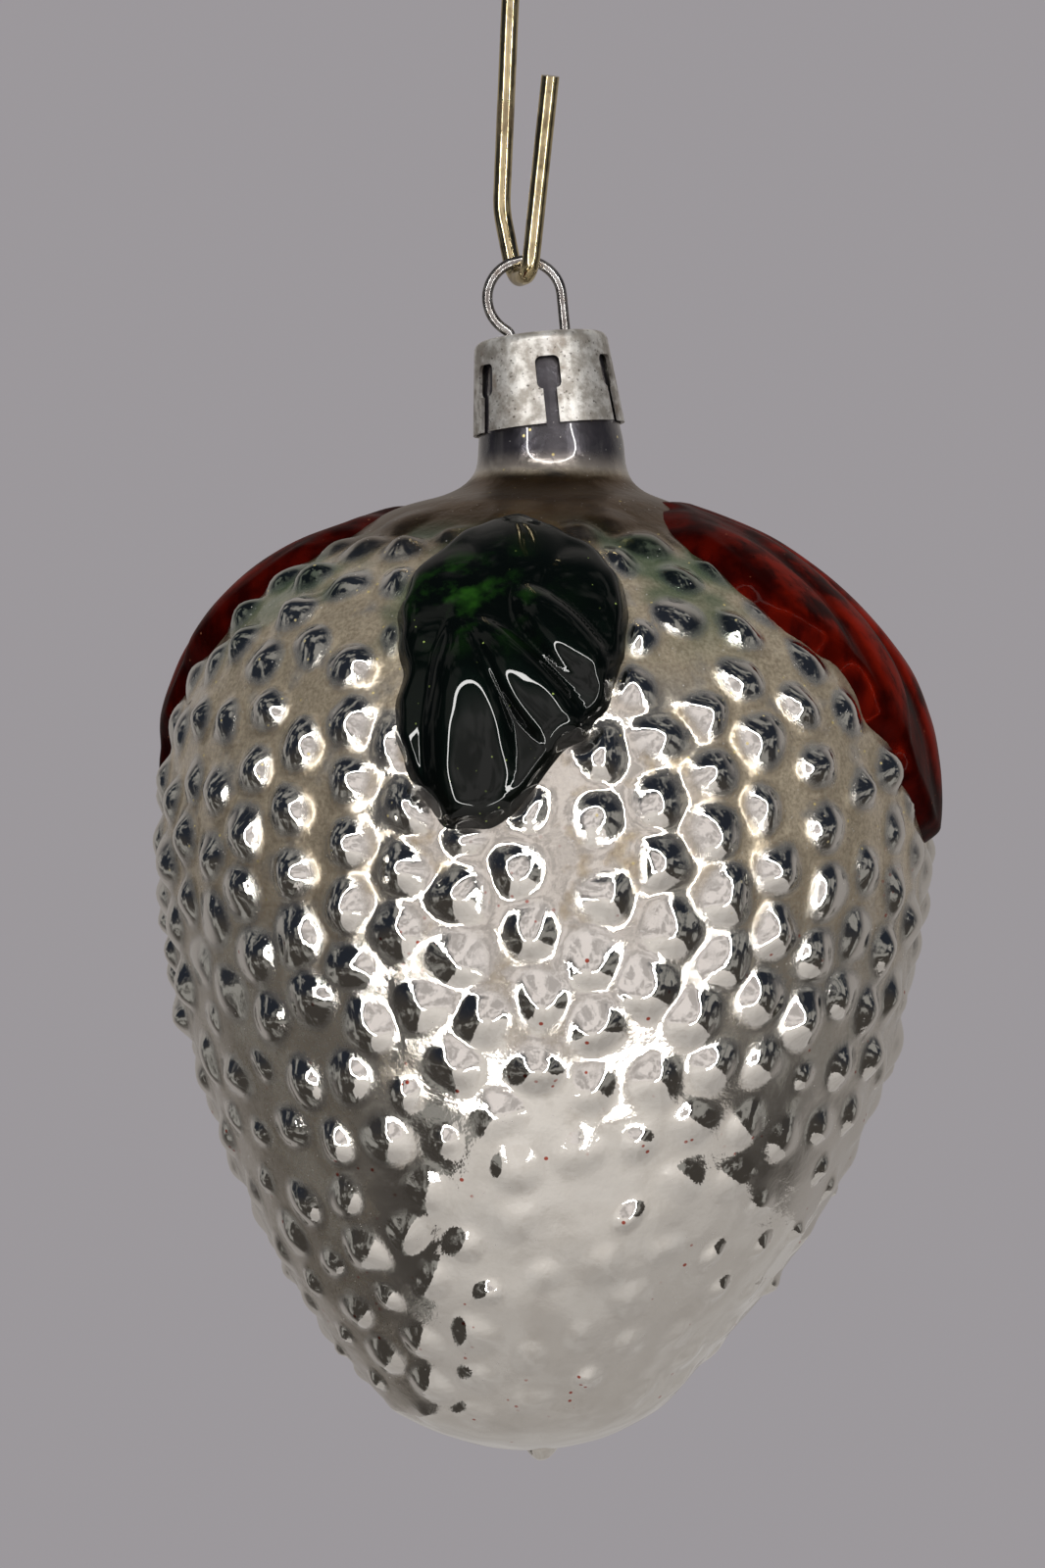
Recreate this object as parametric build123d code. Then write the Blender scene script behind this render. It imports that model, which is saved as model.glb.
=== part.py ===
"""Hanging glass berry ornament: a blown, silvered glass berry with four lacquered leaves, a crimped
metal cap, the spring-wire loop that grips the neck, and the wire hook that the loop hangs from.

Row frame, in millimetres: +Z up, the front leaf faces -Y, +X to the viewer's right. The origin is the
inner crown of the hook's upper bend, the point that rests on a branch.
"""
from build123d import *
import os
from math import cos, radians, sin, tan

# ---- Driving dimensions ---------------------------------------------------------------------------
HOOK_WIRE = 1.25  # diameter of the hook's wire
HOOK_REACH = 37.0  # inner crown of the upper bend down to the wire's centre in the lower bend
UPPER_BEND = 5.0  # centreline radius of the upper bend
LOWER_BEND = 1.68  # centreline radius of the lower bend, which holds the loop
SHANK_LEAN = 15.0  # degrees that the shank leans backwards on its way down
TIP_FLARE = 8.0  # degrees that the upper bend's free end opens
TIP_DROP = 9.5  # how far that free end reaches below the crown

LOOP_WIRE = 0.75  # diameter of the spring wire
LOOP_RADIUS = 2.62  # centreline radius of the loop
LOOP_GAP = 0.12  # play between the loop and the hook

CAP_HEIGHT = 6.5
CAP_TOP_R = 4.65
CAP_SKIRT_R = 5.35
CAP_SHEET = 0.25
CAP_CORNER = 0.7  # radius of the cap's drawn edge
PETALS = 6  # skirt tongues, parted by as many keyhole slots
CAP_OFFSET = (1.24, -4.28)  # cap's top centre from the lower bend, along X and Z
NECK_TILT = 5.5  # degrees that the neck and cap lean towards -X

GLASS_WALL = 0.6
FILM = 0.1  # silvering, drawn far thicker than the real deposit
LEAF_RELIEF = 0.4  # height of a lacquered leaf above the berry
BODY_X = 1.5  # berry's own axis from the lower bend
BODY_TOP = -11.78  # foot of the neck, measured down from the lower bend
BODY_LENGTH = 70.6  # foot of the neck down to the pole
SHOULDER = (11.2, 66.3)  # radius and height where the berry turns up into the neck
SHOULDER_WAY = (-0.89, 0.45)
NECK_WAY = (-0.1, 1)
NECK_RIM_R = 4.1
NECK_FOOT_R = 5.0
BORE_RIM_R = 3.55
BORE_FOOT_R = 3.95
NECK_LENGTH = 9.2  # rim down to where the neck has merged with the shoulder
RIM_DROP = 0.35  # cap's top face down to the rim
NECK_SPLIT = 6.0  # cap's top face down to the level where the neck's straight tube meets its foot
SEAM = 40.0  # degrees from +X, between two leaves, where the turned surfaces start and end
PIP_RADIUS = 0.85  # sealed tip left by the blowing tube

# ---- Frames ---------------------------------------------------------------------------------------
LOWER_BEND_CENTRE = Vector(0, 0, -HOOK_REACH)
NECK_UP = Vector(-sin(radians(NECK_TILT)), 0, cos(radians(NECK_TILT)))
CAP_CENTRE = LOWER_BEND_CENTRE + Vector(CAP_OFFSET[0], 0, CAP_OFFSET[1])
# Local Z runs up the neck and local X stays in the row's XZ plane.
CAP_PLANE = Plane(origin=CAP_CENTRE, x_dir=NECK_UP.cross(Vector(0, 1, 0)) * -1, z_dir=NECK_UP)
POLE_Z = -HOOK_REACH + BODY_TOP - BODY_LENGTH
BODY_PLACE = Location((BODY_X, 0, POLE_Z))
FROM_BASE = (Align.CENTER, Align.CENTER, Align.MIN)
PIVOT = CAP_PLANE.to_local_coords(LOWER_BEND_CENTRE)  # the hook's wire, seen from the cap


def upright(u, v):
    """A point of the XZ plane from its two coordinates."""
    return Vector(u, 0, v)


def round_wire(path, diameter):
    """A solid wire of round section along a path."""
    section = Plane(origin=path @ 0, z_dir=path % 0) * Circle(diameter / 2)
    return sweep(section, path=path)


# ---- Hook -----------------------------------------------------------------------------------------
def make_hook():
    """S-shaped wire hook: wide bend for the branch above, tight bend for the loop below."""
    top = HOOK_WIRE / 2
    front = -UPPER_BEND * tan(radians((90 + SHANK_LEAN) / 2)) - 0.03
    back = UPPER_BEND * tan(radians((90 - TIP_FLARE) / 2)) + 0.03
    tip = back + (TIP_DROP + top) * tan(radians(TIP_FLARE))
    kink_height = 5.0
    kink_y = front + (top + HOOK_REACH - kink_height) * tan(radians(SHANK_LEAN))
    low = LOWER_BEND_CENTRE
    points = [
        Vector(0, tip, -TIP_DROP),
        Vector(0, back, top),
        Vector(0, front, top),
        low + Vector(-1.5, kink_y, kink_height),
        low + Vector(-0.5, LOWER_BEND, 0),
        low + Vector(0.5, -LOWER_BEND, 0),
        low + Vector(0.95, -2.6, 4.2),
        low + Vector(1.93, -5.0, 13.25),
    ]
    radii = [UPPER_BEND, UPPER_BEND, 5.0, 1.5, 1.5, 9.0]
    return round_wire(FilletPolyline(*points, radius=radii), HOOK_WIRE)


# ---- Loop and its spring legs ---------------------------------------------------------------------
def make_hanger_wire():
    """One wire: a loop above the cap and two sprung legs that spread inside the neck."""
    crown = PIVOT.Z + HOOK_WIRE / 2 + LOOP_GAP + LOOP_WIRE / 2
    centre = upright(PIVOT.X, crown - LOOP_RADIUS)
    leave = radians(232)  # where the left side leaves the circle, counted from +X
    left_end = centre + upright(LOOP_RADIUS * cos(leave), LOOP_RADIUS * sin(leave))
    left_way = upright(-sin(leave), cos(leave))
    right_end = centre + upright(LOOP_RADIUS, 0)
    over = centre + upright(-LOOP_RADIUS * sin(0.4), LOOP_RADIUS * cos(0.4))
    entry = left_end + left_way * 0.62
    shoulder_x, shoulder_z = 2.65, -1.35
    knee_x, knee_z = 3.08, -8.0
    tip_x, tip_z = 2.7, -10.6
    right_leg = FilletPolyline(
        upright(tip_x, tip_z),
        upright(knee_x, knee_z),
        upright(shoulder_x, shoulder_z),
        upright(right_end.X, -0.1),
        right_end,
        radius=[2.0, 0.8, 0.6],
    )
    arch = ThreePointArc(right_end, over, left_end)
    left_leg = FilletPolyline(
        left_end,
        entry,
        upright(-shoulder_x, shoulder_z),
        upright(-knee_x, knee_z),
        upright(-tip_x, tip_z),
        radius=[0.6, 0.8, 2.0],
    )
    return CAP_PLANE.location * round_wire(Wire([*right_leg.edges(), arch, *left_leg.edges()]), LOOP_WIRE)


# ---- Cap ------------------------------------------------------------------------------------------
def cap_shell():
    """Drawn cup with a rounded edge and a skirt that widens downwards."""
    outline = Polyline(
        (0, 0),
        (CAP_TOP_R, 0),
        (CAP_SKIRT_R, -CAP_HEIGHT),
        (CAP_SKIRT_R - CAP_SHEET, -CAP_HEIGHT),
        (CAP_TOP_R - CAP_SHEET, -CAP_SHEET),
        (0, -CAP_SHEET),
        close=True,
    )
    section = Plane.XZ * make_face(outline)
    section = fillet(section.vertices().sort_by_distance((CAP_TOP_R, 0, 0))[0], CAP_CORNER)
    inner = (CAP_TOP_R - CAP_SHEET, 0, -CAP_SHEET)
    section = fillet(section.vertices().sort_by_distance(inner)[0], CAP_CORNER - CAP_SHEET)
    return revolve(section, Axis.Z)


def keyhole():
    """Cutter for one skirt slot: a window with a narrower slit down through the edge."""
    window_w, window_h, window_top = 1.7, 2.3, -1.8
    slit_w = 0.95
    window = Pos(0, window_top - window_h / 2) * RectangleRounded(window_w, window_h, 0.45)
    slit = Pos(0, -CAP_HEIGHT / 2 - 2) * Rectangle(slit_w, CAP_HEIGHT)
    return extrude(Plane.XZ * (window + slit), amount=2 * CAP_SKIRT_R)


def make_cap():
    """Six-petalled cap with two slots in its top for the wire's legs."""
    cap = cap_shell()
    first = 3.0  # degrees, so that one slot faces the front
    for turn in range(PETALS):
        cap -= Rot(0, 0, first + turn * 360 / PETALS) * keyhole()
    leg_slot = extrude(SlotOverall(2.35, LOOP_WIRE + 0.2), amount=2 * CAP_SHEET, both=True)
    for side in (-1, 1):
        cap -= Pos(side * 2.5, 0, 0) * leg_slot
    return CAP_PLANE.location * cap


# ---- Glass ----------------------------------------------------------------------------------------
def berry_outline():
    """Half outline of the berry, height over radius: the flank from the pole up, then the way into the neck."""
    flank = Spline(
        (0, 0),
        (9.7, 2.9),
        (16.3, 9.8),
        (21.4, 18.1),
        (25.2, 28.0),
        (27.1, 37.5),
        (27.4, 45.0),
        (25.9, 52.6),
        (22.5, 58.2),
        (17.2, 63.0),
        SHOULDER,
        tangents=[(1, 0), SHOULDER_WAY],
    )
    sweep_up = Spline(SHOULDER, (NECK_FOOT_R + 0.1, BODY_LENGTH), tangents=[SHOULDER_WAY, NECK_WAY])
    return flank, sweep_up


def moved_inwards(curve, inset, start_way, end_way, steps):
    """Curve parallel to another one, at a distance on its inner side."""
    points = []
    for i in range(steps + 1):
        along = curve % (i / steps)
        points.append(curve @ (i / steps) + Vector(-along.Y, along.X, 0) * inset)
    return Spline(*points, tangents=[start_way, end_way])


def berry(inset):
    """Solid of revolution of the berry's outline, moved inwards by inset (outwards if negative)."""
    flank, sweep_up = berry_outline()
    if inset:
        flank = moved_inwards(flank, inset, (1, 0), SHOULDER_WAY, 22)
        sweep_up = moved_inwards(sweep_up, inset, SHOULDER_WAY, NECK_WAY, 6)
    top = sweep_up @ 1
    closing = Polyline(top, (0, top.Y), flank @ 0)
    section = Plane.XZ * make_face([flank, sweep_up, *closing.edges()])
    return BODY_PLACE * Rot(0, 0, SEAM) * revolve(section, Axis.Z)


def neck_cone(rim_radius, foot_radius, above=0.0):
    """Tapered plug along the neck, from the rim (or above it) down into the berry."""
    height = NECK_LENGTH + above
    slope = (foot_radius - rim_radius) / NECK_LENGTH
    cone = Cone(foot_radius, rim_radius - slope * above, height, align=FROM_BASE)
    return CAP_PLANE.location * Pos(0, 0, -RIM_DROP - NECK_LENGTH) * cone


def above_split():
    """Everything above the level across the neck where its straight tube is drawn as a node of its own."""
    return CAP_PLANE.location * Pos(0, 0, -NECK_SPLIT) * Cylinder(4 * CAP_SKIRT_R, 2 * NECK_SPLIT, align=FROM_BASE)


def make_glass(outside, cavity):
    """Berry and the foot of its neck as one blown wall, with the sealed pip under the pole."""
    pip = BODY_PLACE * Pos(0, 0, PIP_RADIUS * 0.35) * Sphere(PIP_RADIUS)
    return outside + pip - cavity - above_split()


def make_neck(bore):
    """Straight tube of the neck, from its foot up to the rim under the cap."""
    return (neck_cone(NECK_RIM_R, NECK_FOOT_R) & above_split()) - bore


def make_silvering(bore):
    """Mirror film on the inside of the berry, open where the neck joins."""
    film = berry(GLASS_WALL) - berry(GLASS_WALL + FILM) - bore
    ceiling = Pos(BODY_X, 0, POLE_Z + BODY_LENGTH - 0.9) * Cylinder(40, 9, align=FROM_BASE)
    return film - ceiling


# ---- Leaves ---------------------------------------------------------------------------------------
# Outlines seen from outside: sideways from the berry's axis, and height above the pole.
FRONT_OUTLINE = [
    (-1.4, 65.9), (2.1, 64.5), (4.6, 62.3), (5.7, 59.4), (4.7, 54.2), (2.6, 50.6), (0.2, 48.6),
    (-2.6, 44.7), (-5.9, 44.0), (-8.2, 46.0), (-10.0, 49.5), (-9.6, 55.2), (-9.0, 59.6), (-5.6, 64.2),
]  # fmt: skip
SIDE_HALF = [(4.6, 66.6), (10.6, 63.8), (13.1, 58.4), (10.6, 54.0), (9.6, 50.2), (5.0, 46.8)]
SIDE_TOP, SIDE_TIP = 67.2, 42.4


def side_outline():
    """Symmetrical five-lobed leaf that straddles the mould's seam."""
    right = [(0, SIDE_TOP), *SIDE_HALF, (0, SIDE_TIP)]
    return right + [(-u, v) for u, v in reversed(SIDE_HALF)]


def make_leaf(skin, outline, azimuth):
    """Part of the raised skin inside an outline that faces a direction, 0 being the front."""
    face = make_face(Spline(*outline, periodic=True))
    prism = extrude(Plane.XZ * face, amount=60)
    return skin & (BODY_PLACE * Rot(0, 0, azimuth) * prism)


# ---- Assembly -------------------------------------------------------------------------------------
def make_parts():
    """Every node of the ornament by name."""
    outside = berry(0) + neck_cone(NECK_RIM_R, NECK_FOOT_R)
    bore = neck_cone(BORE_RIM_R, BORE_FOOT_R, above=1.0)
    cavity = berry(GLASS_WALL) + bore
    skin = berry(-LEAF_RELIEF) - outside
    mirrored = [(-u, v) for u, v in FRONT_OUTLINE]
    return {
        "hook": make_hook(),
        "hanger_wire": make_hanger_wire(),
        "cap": make_cap(),
        "glass_body": make_glass(outside, cavity),
        "glass_neck": make_neck(bore),
        "silver_lining": make_silvering(bore),
        "front_leaf": make_leaf(skin, FRONT_OUTLINE, 0),
        "right_leaf": make_leaf(skin, side_outline(), 80),
        "back_leaf": make_leaf(skin, mirrored, 170),
        "left_leaf": make_leaf(skin, side_outline(), 253),
    }


os.makedirs("parts", exist_ok=True)
for name, part in make_parts().items():
    part.label = name
    export_step(part, f"parts/{name}.step")
    print(name, round(part.volume, 2), part.bounding_box().min, part.bounding_box().max)
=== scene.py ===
"""Visual model of a hanging glass berry ornament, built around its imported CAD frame."""
import math
import random

import bpy
import numpy as np
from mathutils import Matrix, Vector, noise


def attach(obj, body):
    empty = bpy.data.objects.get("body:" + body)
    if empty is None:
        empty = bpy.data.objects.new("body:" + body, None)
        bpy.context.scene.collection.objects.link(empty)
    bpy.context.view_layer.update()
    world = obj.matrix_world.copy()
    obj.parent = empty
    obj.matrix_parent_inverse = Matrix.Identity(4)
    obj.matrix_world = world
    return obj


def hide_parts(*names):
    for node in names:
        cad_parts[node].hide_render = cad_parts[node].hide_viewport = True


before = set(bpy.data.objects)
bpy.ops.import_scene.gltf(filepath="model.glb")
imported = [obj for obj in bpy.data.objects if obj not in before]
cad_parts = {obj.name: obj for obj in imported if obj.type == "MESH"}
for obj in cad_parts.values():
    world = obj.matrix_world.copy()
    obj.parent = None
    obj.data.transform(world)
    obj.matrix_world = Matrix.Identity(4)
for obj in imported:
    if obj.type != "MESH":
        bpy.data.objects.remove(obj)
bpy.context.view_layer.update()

MM = 0.001

# ---- Places shared with the CAD, in millimetres ----------------------------------------------------
HOOK_REACH = 37.0
NECK_TILT = math.radians(5.5)
CAP_CENTRE = Vector((1.24, 0, -HOOK_REACH - 4.28))
NECK_UP = Vector((-math.sin(NECK_TILT), 0, math.cos(NECK_TILT)))
NECK_SIDE = Vector((math.cos(NECK_TILT), 0, math.sin(NECK_TILT)))
BODY_X = 1.5  # the body's axis hangs a little to the side of the hook
BODY_LENGTH = 70.6  # from the pole to the foot of the neck
POLE_Z = -HOOK_REACH - 11.78 - BODY_LENGTH
NECK_RIM_R, NECK_LENGTH, RIM_DROP = 4.1, 9.2, 0.35
BORE_RIM_R, BORE_FOOT_R = 3.55, 3.95
# Radius and height above the pole, from the pole up into the neck.
OUTLINE = [
    (0, 0), (9.7, 2.9), (16.3, 9.8), (21.4, 18.1), (25.2, 28.0), (27.1, 37.5), (27.4, 45.0),
    (25.9, 52.6), (22.5, 58.2), (17.2, 62.8), (11.0, 65.7), (7.0, 67.1), (5.5, 68.5), (5.1, 70.6),
]  # fmt: skip


def smooth(low, high, x):
    """0 below low, 1 above high, and an S-curve between."""
    t = np.clip((x - low) / (high - low), 0, 1)
    return t * t * (3 - 2 * t)


def curve_point(p0, p1, p2, p3, t):
    """Point between p1 and p2, at a share t of the way, of a smooth curve through all four points."""
    square = (2 * p0 - 5 * p1 + 4 * p2 - p3) * t**2
    cube = (3 * p1 - p0 - 3 * p2 + p3) * t**3
    return 0.5 * (2 * p1 + (p2 - p0) * t + square + cube)


# ---- Berry outline ---------------------------------------------------------------------------------
def outline_curve(points, steps=150):
    """Smooth curve through the outline's points, as rows of radius and height."""
    first = (-points[1][0], points[1][1])
    last = (points[-1][0] - 0.2, points[-1][1] + 2.0)
    knots = [Vector(p) for p in [first, *points, last]]
    fine = []
    for i in range(1, len(knots) - 2):
        for k in range(steps):
            fine.append(curve_point(*knots[i - 1 : i + 3], k / steps))
    fine.append(knots[-2])
    return np.array([(p.x, p.y) for p in fine])


CURVE = outline_curve(OUTLINE)
CURVE_LENGTH = np.concatenate([[0], np.cumsum(np.hypot(*np.diff(CURVE, axis=0).T))])
BERRY_LENGTH = CURVE_LENGTH[-1]


def along(s):
    """Radius and height at a length s up the outline from the pole."""
    return np.interp(s, CURVE_LENGTH, CURVE[:, 0]), np.interp(s, CURVE_LENGTH, CURVE[:, 1])


def length_at(height):
    """Length up the outline at a height above the pole."""
    return np.interp(height, CURVE[:, 1], CURVE_LENGTH)


def drift(height):
    """Sideways lean of the hand-blown body off its axis."""
    return -0.7 * np.exp(-(((height - 61) / 6) ** 2)) - 1.3 * (1 - smooth(1, 24, height))


def place(theta, s, lift=0.0):
    """Point over the CAD's skin, at an azimuth (0 is the front) and a length up the outline.

    lift is its distance outside that skin, less than 0 for a point inside.
    """
    radius, height = along(s)
    r_up, h_up = along(np.minimum(s + 0.3, BERRY_LENGTH))
    r_dn, h_dn = along(np.maximum(s - 0.3, 0))
    tangent_r, tangent_h = r_up - r_dn, h_up - h_dn
    size = np.hypot(tangent_r, tangent_h) + 1e-9
    out_r, out_h = tangent_h / size, -tangent_r / size
    radius = radius + out_r * lift
    level = height + out_h * lift
    x = BODY_X + drift(height) + radius * np.sin(theta)
    y = -radius * np.cos(theta)
    z = POLE_Z + level
    # Near the top each ring turns over into the tilted neck.
    neck = smooth(65.5, BODY_LENGTH, height)
    down = level - (CAP_CENTRE.z - POLE_Z)
    nx = CAP_CENTRE.x + NECK_UP.x * down + NECK_SIDE.x * radius * np.sin(theta)
    nz = CAP_CENTRE.z + NECK_UP.z * down + NECK_SIDE.z * radius * np.sin(theta)
    return x + (nx - x) * neck, y, z + (nz - z) * neck


# ---- Leaf outlines ---------------------------------------------------------------------------------
# Each is sideways from the berry's axis and height above the pole, seen from outside.
FRONT_OUTLINE = [
    (-1.4, 65.3), (2.1, 64.3), (4.9, 62.3), (6.3, 59.3), (5.4, 54.0), (3.4, 50.3), (0.6, 47.8),
    (-2.3, 44.3), (-5.8, 43.6), (-8.3, 45.8), (-10.1, 49.5), (-9.7, 54.0), (-9.2, 59.4), (-5.8, 63.8),
]  # fmt: skip
SIDE_HALF = [
    (4.6, 66.6), (10.6, 63.8), (13.1, 58.6), (12.2, 56.0),
    (10.3, 54.3), (10.3, 51.2), (7.9, 49.4), (6.3, 46.4),
]  # fmt: skip
SIDE_OUTLINE = [(0, 67.2), *SIDE_HALF, (0, 42.4), *[(-u, v) for u, v in reversed(SIDE_HALF)]]
BACK_OUTLINE = [(-u, v) for u, v in FRONT_OUTLINE]


def closed_curve(points, steps=12):
    """Smooth closed line through an outline's points."""
    n = len(points)
    fine = []
    for i in range(n):
        knots = [Vector(points[(i + k) % n]) for k in (-1, 0, 1, 2)]
        for k in range(steps):
            fine.append(curve_point(*knots, k / steps))
    return np.array([(p.x, p.y) for p in fine])


def ragged(line, seed):
    """The same closed line with small brush-made waves."""
    wave_length, wave_height = 1.9, 0.36
    middle = line.mean(axis=0)
    out = line - middle
    wave = [noise.noise(Vector((u / wave_length, v / wave_length, seed))) for u, v in line]
    return middle + out * (1 + wave_height * np.array(wave) / np.hypot(*out.T))[:, None]


def leaf_angle(u, height):
    """Azimuth offset of a point u to the side of a leaf's middle, at a height."""
    radius = np.interp(height, CURVE[:, 1], CURVE[:, 0])
    return np.arcsin(np.clip(u / radius, -0.97, 0.97))


def edge_distance(line, u, v):
    """Distance of points to a closed line: positive inside it."""
    a, b = line, np.roll(line, -1, axis=0)
    best = np.full(u.shape, 1e9)
    inside = np.zeros(u.shape, bool)
    for (ax, ay), (bx, by) in zip(a, b):
        dx, dy = bx - ax, by - ay
        t = np.clip(((u - ax) * dx + (v - ay) * dy) / (dx * dx + dy * dy + 1e-12), 0, 1)
        best = np.minimum(best, np.hypot(u - ax - t * dx, v - ay - t * dy))
        crosses = (ay > v) != (by > v)
        inside ^= crosses & (u < ax + (v - ay) * dx / (dy if dy else 1e-9))
    return np.where(inside, best, -best)


# Outline and azimuth of each leaf.
LEAVES = {
    "front_leaf": (ragged(closed_curve(FRONT_OUTLINE), 1.0), 0.0),
    "right_leaf": (ragged(closed_curve(SIDE_OUTLINE), 2.0), math.radians(80)),
    "back_leaf": (ragged(closed_curve(BACK_OUTLINE), 3.0), math.radians(170)),
    "left_leaf": (ragged(closed_curve(SIDE_OUTLINE), 4.0), math.radians(253)),
}


def wrap(angle):
    """The same angle between -pi and pi."""
    return (angle + math.pi) % (2 * math.pi) - math.pi


# ---- Beads -----------------------------------------------------------------------------------------
BEAD_PITCH, ROW_PITCH = 8.3, 2.22  # along a row, and from one row to the next
BEAD_GAP = 4.3  # beads closer than this push each other apart
BEAD_R, BEAD_H = 2.4, 0.98  # radius and height of a full bead
VALLEY = 0.85  # how far the ground between beads lies under the CAD's skin


def bead_zone(height):
    """1 where the berry is beaded, 0 on the neck's foot and round the pole."""
    return smooth(66.6, 63.4, height) * smooth(1.0, 6, height)


def soft_noise(x, y, z, scale, seed=0.0):
    """Smooth noise between about -1 and 1 for arrays of points."""
    flat = [
        noise.noise(Vector((a / scale + seed, b / scale, c / scale)))
        for a, b, c in zip(np.ravel(x), np.ravel(y), np.ravel(z))
    ]
    return np.array(flat).reshape(np.shape(x))


def bead_places(rng):
    """Staggered rows of bead middles, as azimuth and length up the outline."""
    spots = []
    phase, s = 0.1, length_at(64.6)
    while s > 3.5:
        radius, height = along(s)
        count = max(5, round(2 * math.pi * min(radius, 26.0) / BEAD_PITCH))
        phase += math.pi / count
        for k in range(count):
            theta = phase + 2 * math.pi * k / count + rng.uniform(-0.6, 0.6) / radius
            around = Vector((3 * math.sin(theta), 3 * math.cos(theta), s / 12))
            theta += 1.2 * noise.noise(around + Vector((7, 0, 0))) / radius
            spots.append((wrap(theta), s + 1.8 * noise.noise(around) + rng.uniform(-0.5, 0.5)))
        s -= ROW_PITCH
    return np.array(spots).T


def pushed_apart(theta, s, rounds=40):
    """The same beads, with those that crowd each other moved apart."""
    for _ in range(rounds):
        radius = along(s)[0]
        across = wrap(theta[:, None] - theta[None, :]) * (radius[:, None] + radius[None, :]) / 2
        up = s[:, None] - s[None, :]
        gap = np.hypot(across, up) + 1e-6
        push = np.where(gap > 1e-5, np.clip(BEAD_GAP - gap, 0, None) / gap, 0)
        theta = wrap(theta + 0.2 * (across * push).sum(axis=1) / radius)
        s = np.clip(s + 0.2 * (up * push).sum(axis=1), 3.0, length_at(65.0))
    return theta, s


def make_beads():
    """Every bead's azimuth, length up the outline, radius and height."""
    rng = random.Random(11)
    beads = []
    for theta, s in zip(*pushed_apart(*bead_places(rng))):
        _, height = along(s)
        # Beads fade towards the pole, half as much on the left.
        left = smooth(-0.15, -0.6, theta) * smooth(-2.4, -1.6, theta)
        low = smooth(34, 18, height) * (1 - 0.5 * left)
        # The front is the sharpest part of the moulding.
        crisp = smooth(1.0, 0.6, abs(theta)) * smooth(36, 43, height) * smooth(57, 52, height)
        tall = BEAD_H * (1 + 0.2 * crisp) * rng.uniform(0.6 + 0.1 * crisp, 1.08) * (1 - 0.72 * low)
        wide = BEAD_R * rng.uniform(0.88, 1.06) * (1 - 0.25 * low)
        # Low down some are only small bumps.
        if height < 32 and rng.random() < 0.22:
            tall, wide = 0.45, 0.65 * wide
        beads.append((theta, s, wide, tall))
    return beads


def bead_relief(theta, s, rows):
    """Bead height over a grid of the berry's skin, and how near the top of a bead each point is, 0 to 1.

    rows is the length up the outline of each row of the grid, before the beads are warped.
    """
    relief, share = np.zeros(theta.shape), np.zeros(theta.shape)
    radius, _ = along(s)
    for b_theta, b_s, wide, tall in make_beads():
        near = np.flatnonzero(np.abs(rows - b_s) < wide + 0.8)
        if not len(near):
            continue
        part = slice(near[0], near[-1] + 1)
        across = radius[part] * wrap(theta[part] - b_theta)
        # Bell-shaped: round on top, and running out softly into the ground.
        bell = np.clip(1 - (across**2 + (s[part] - b_s) ** 2) / wide**2, 0, 1) ** 1.8
        relief[part] = np.maximum(relief[part], tall * bell)
        share[part] = np.maximum(share[part], bell)
    return relief, share


def leaf_depth(theta, height):
    """How far inside a leaf's outline each point lies, in millimetres; below 0 outside every leaf."""
    depth = np.full(theta.shape, -9.0)
    for line, azimuth in LEAVES.values():
        turn = wrap(theta - azimuth)
        radius = np.interp(height, CURVE[:, 1], CURVE[:, 0])
        u = np.where(np.abs(turn) < 1.4, radius * np.sin(turn), 99)
        band = (height > 40) & (np.abs(u) < 16)
        depth[band] = np.maximum(depth[band], edge_distance(line, u[band], height[band]))
    return depth


# ---- Mesh helpers ----------------------------------------------------------------------------------
def mesh_object(name, verts, faces, material):
    """Smooth-shaded mesh object from vertices in millimetres."""
    mesh = bpy.data.meshes.new(name)
    mesh.from_pydata([tuple(v) for v in np.asarray(verts) * MM], [], faces)
    mesh.update()
    mesh.shade_smooth()
    obj = bpy.data.objects.new(name, mesh)
    bpy.context.scene.collection.objects.link(obj)
    mesh.materials.append(material)
    return obj


def grid_faces(rows, cols, start=0):
    """Quads of a grid that closes on itself sideways."""
    faces = []
    for i in range(rows - 1):
        for j in range(cols):
            k = (j + 1) % cols
            a = start + i * cols
            faces.append((a + j, a + k, a + cols + k, a + cols + j))
    return faces


def add_attribute(obj, name, values):
    """Gives each vertex a number that a material can read."""
    layer = obj.data.attributes.new(name, "FLOAT", "POINT")
    layer.data.foreach_set("value", np.asarray(values, dtype=np.float32))


# ---- Glass berry -----------------------------------------------------------------------------------
COLUMNS = 416
SKIN_ROWS = 210
INNER_COLUMNS, INNER_ROWS = COLUMNS // 4, 40
WALL = 1.4  # how far the inner wall lies under the CAD's skin, clear of the valleys
FILM_GAP, FILM_THICKNESS = 0.04, 0.1


def neck_ring(down, radius, columns):
    """Ring of the tilted neck at a distance below the cap's top face."""
    centre = CAP_CENTRE - NECK_UP * down
    return [
        centre + NECK_SIDE * (radius * math.sin(t)) + Vector((0, -radius * math.cos(t), 0))
        for t in np.linspace(0, 2 * math.pi, columns, endpoint=False)
    ]


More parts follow.
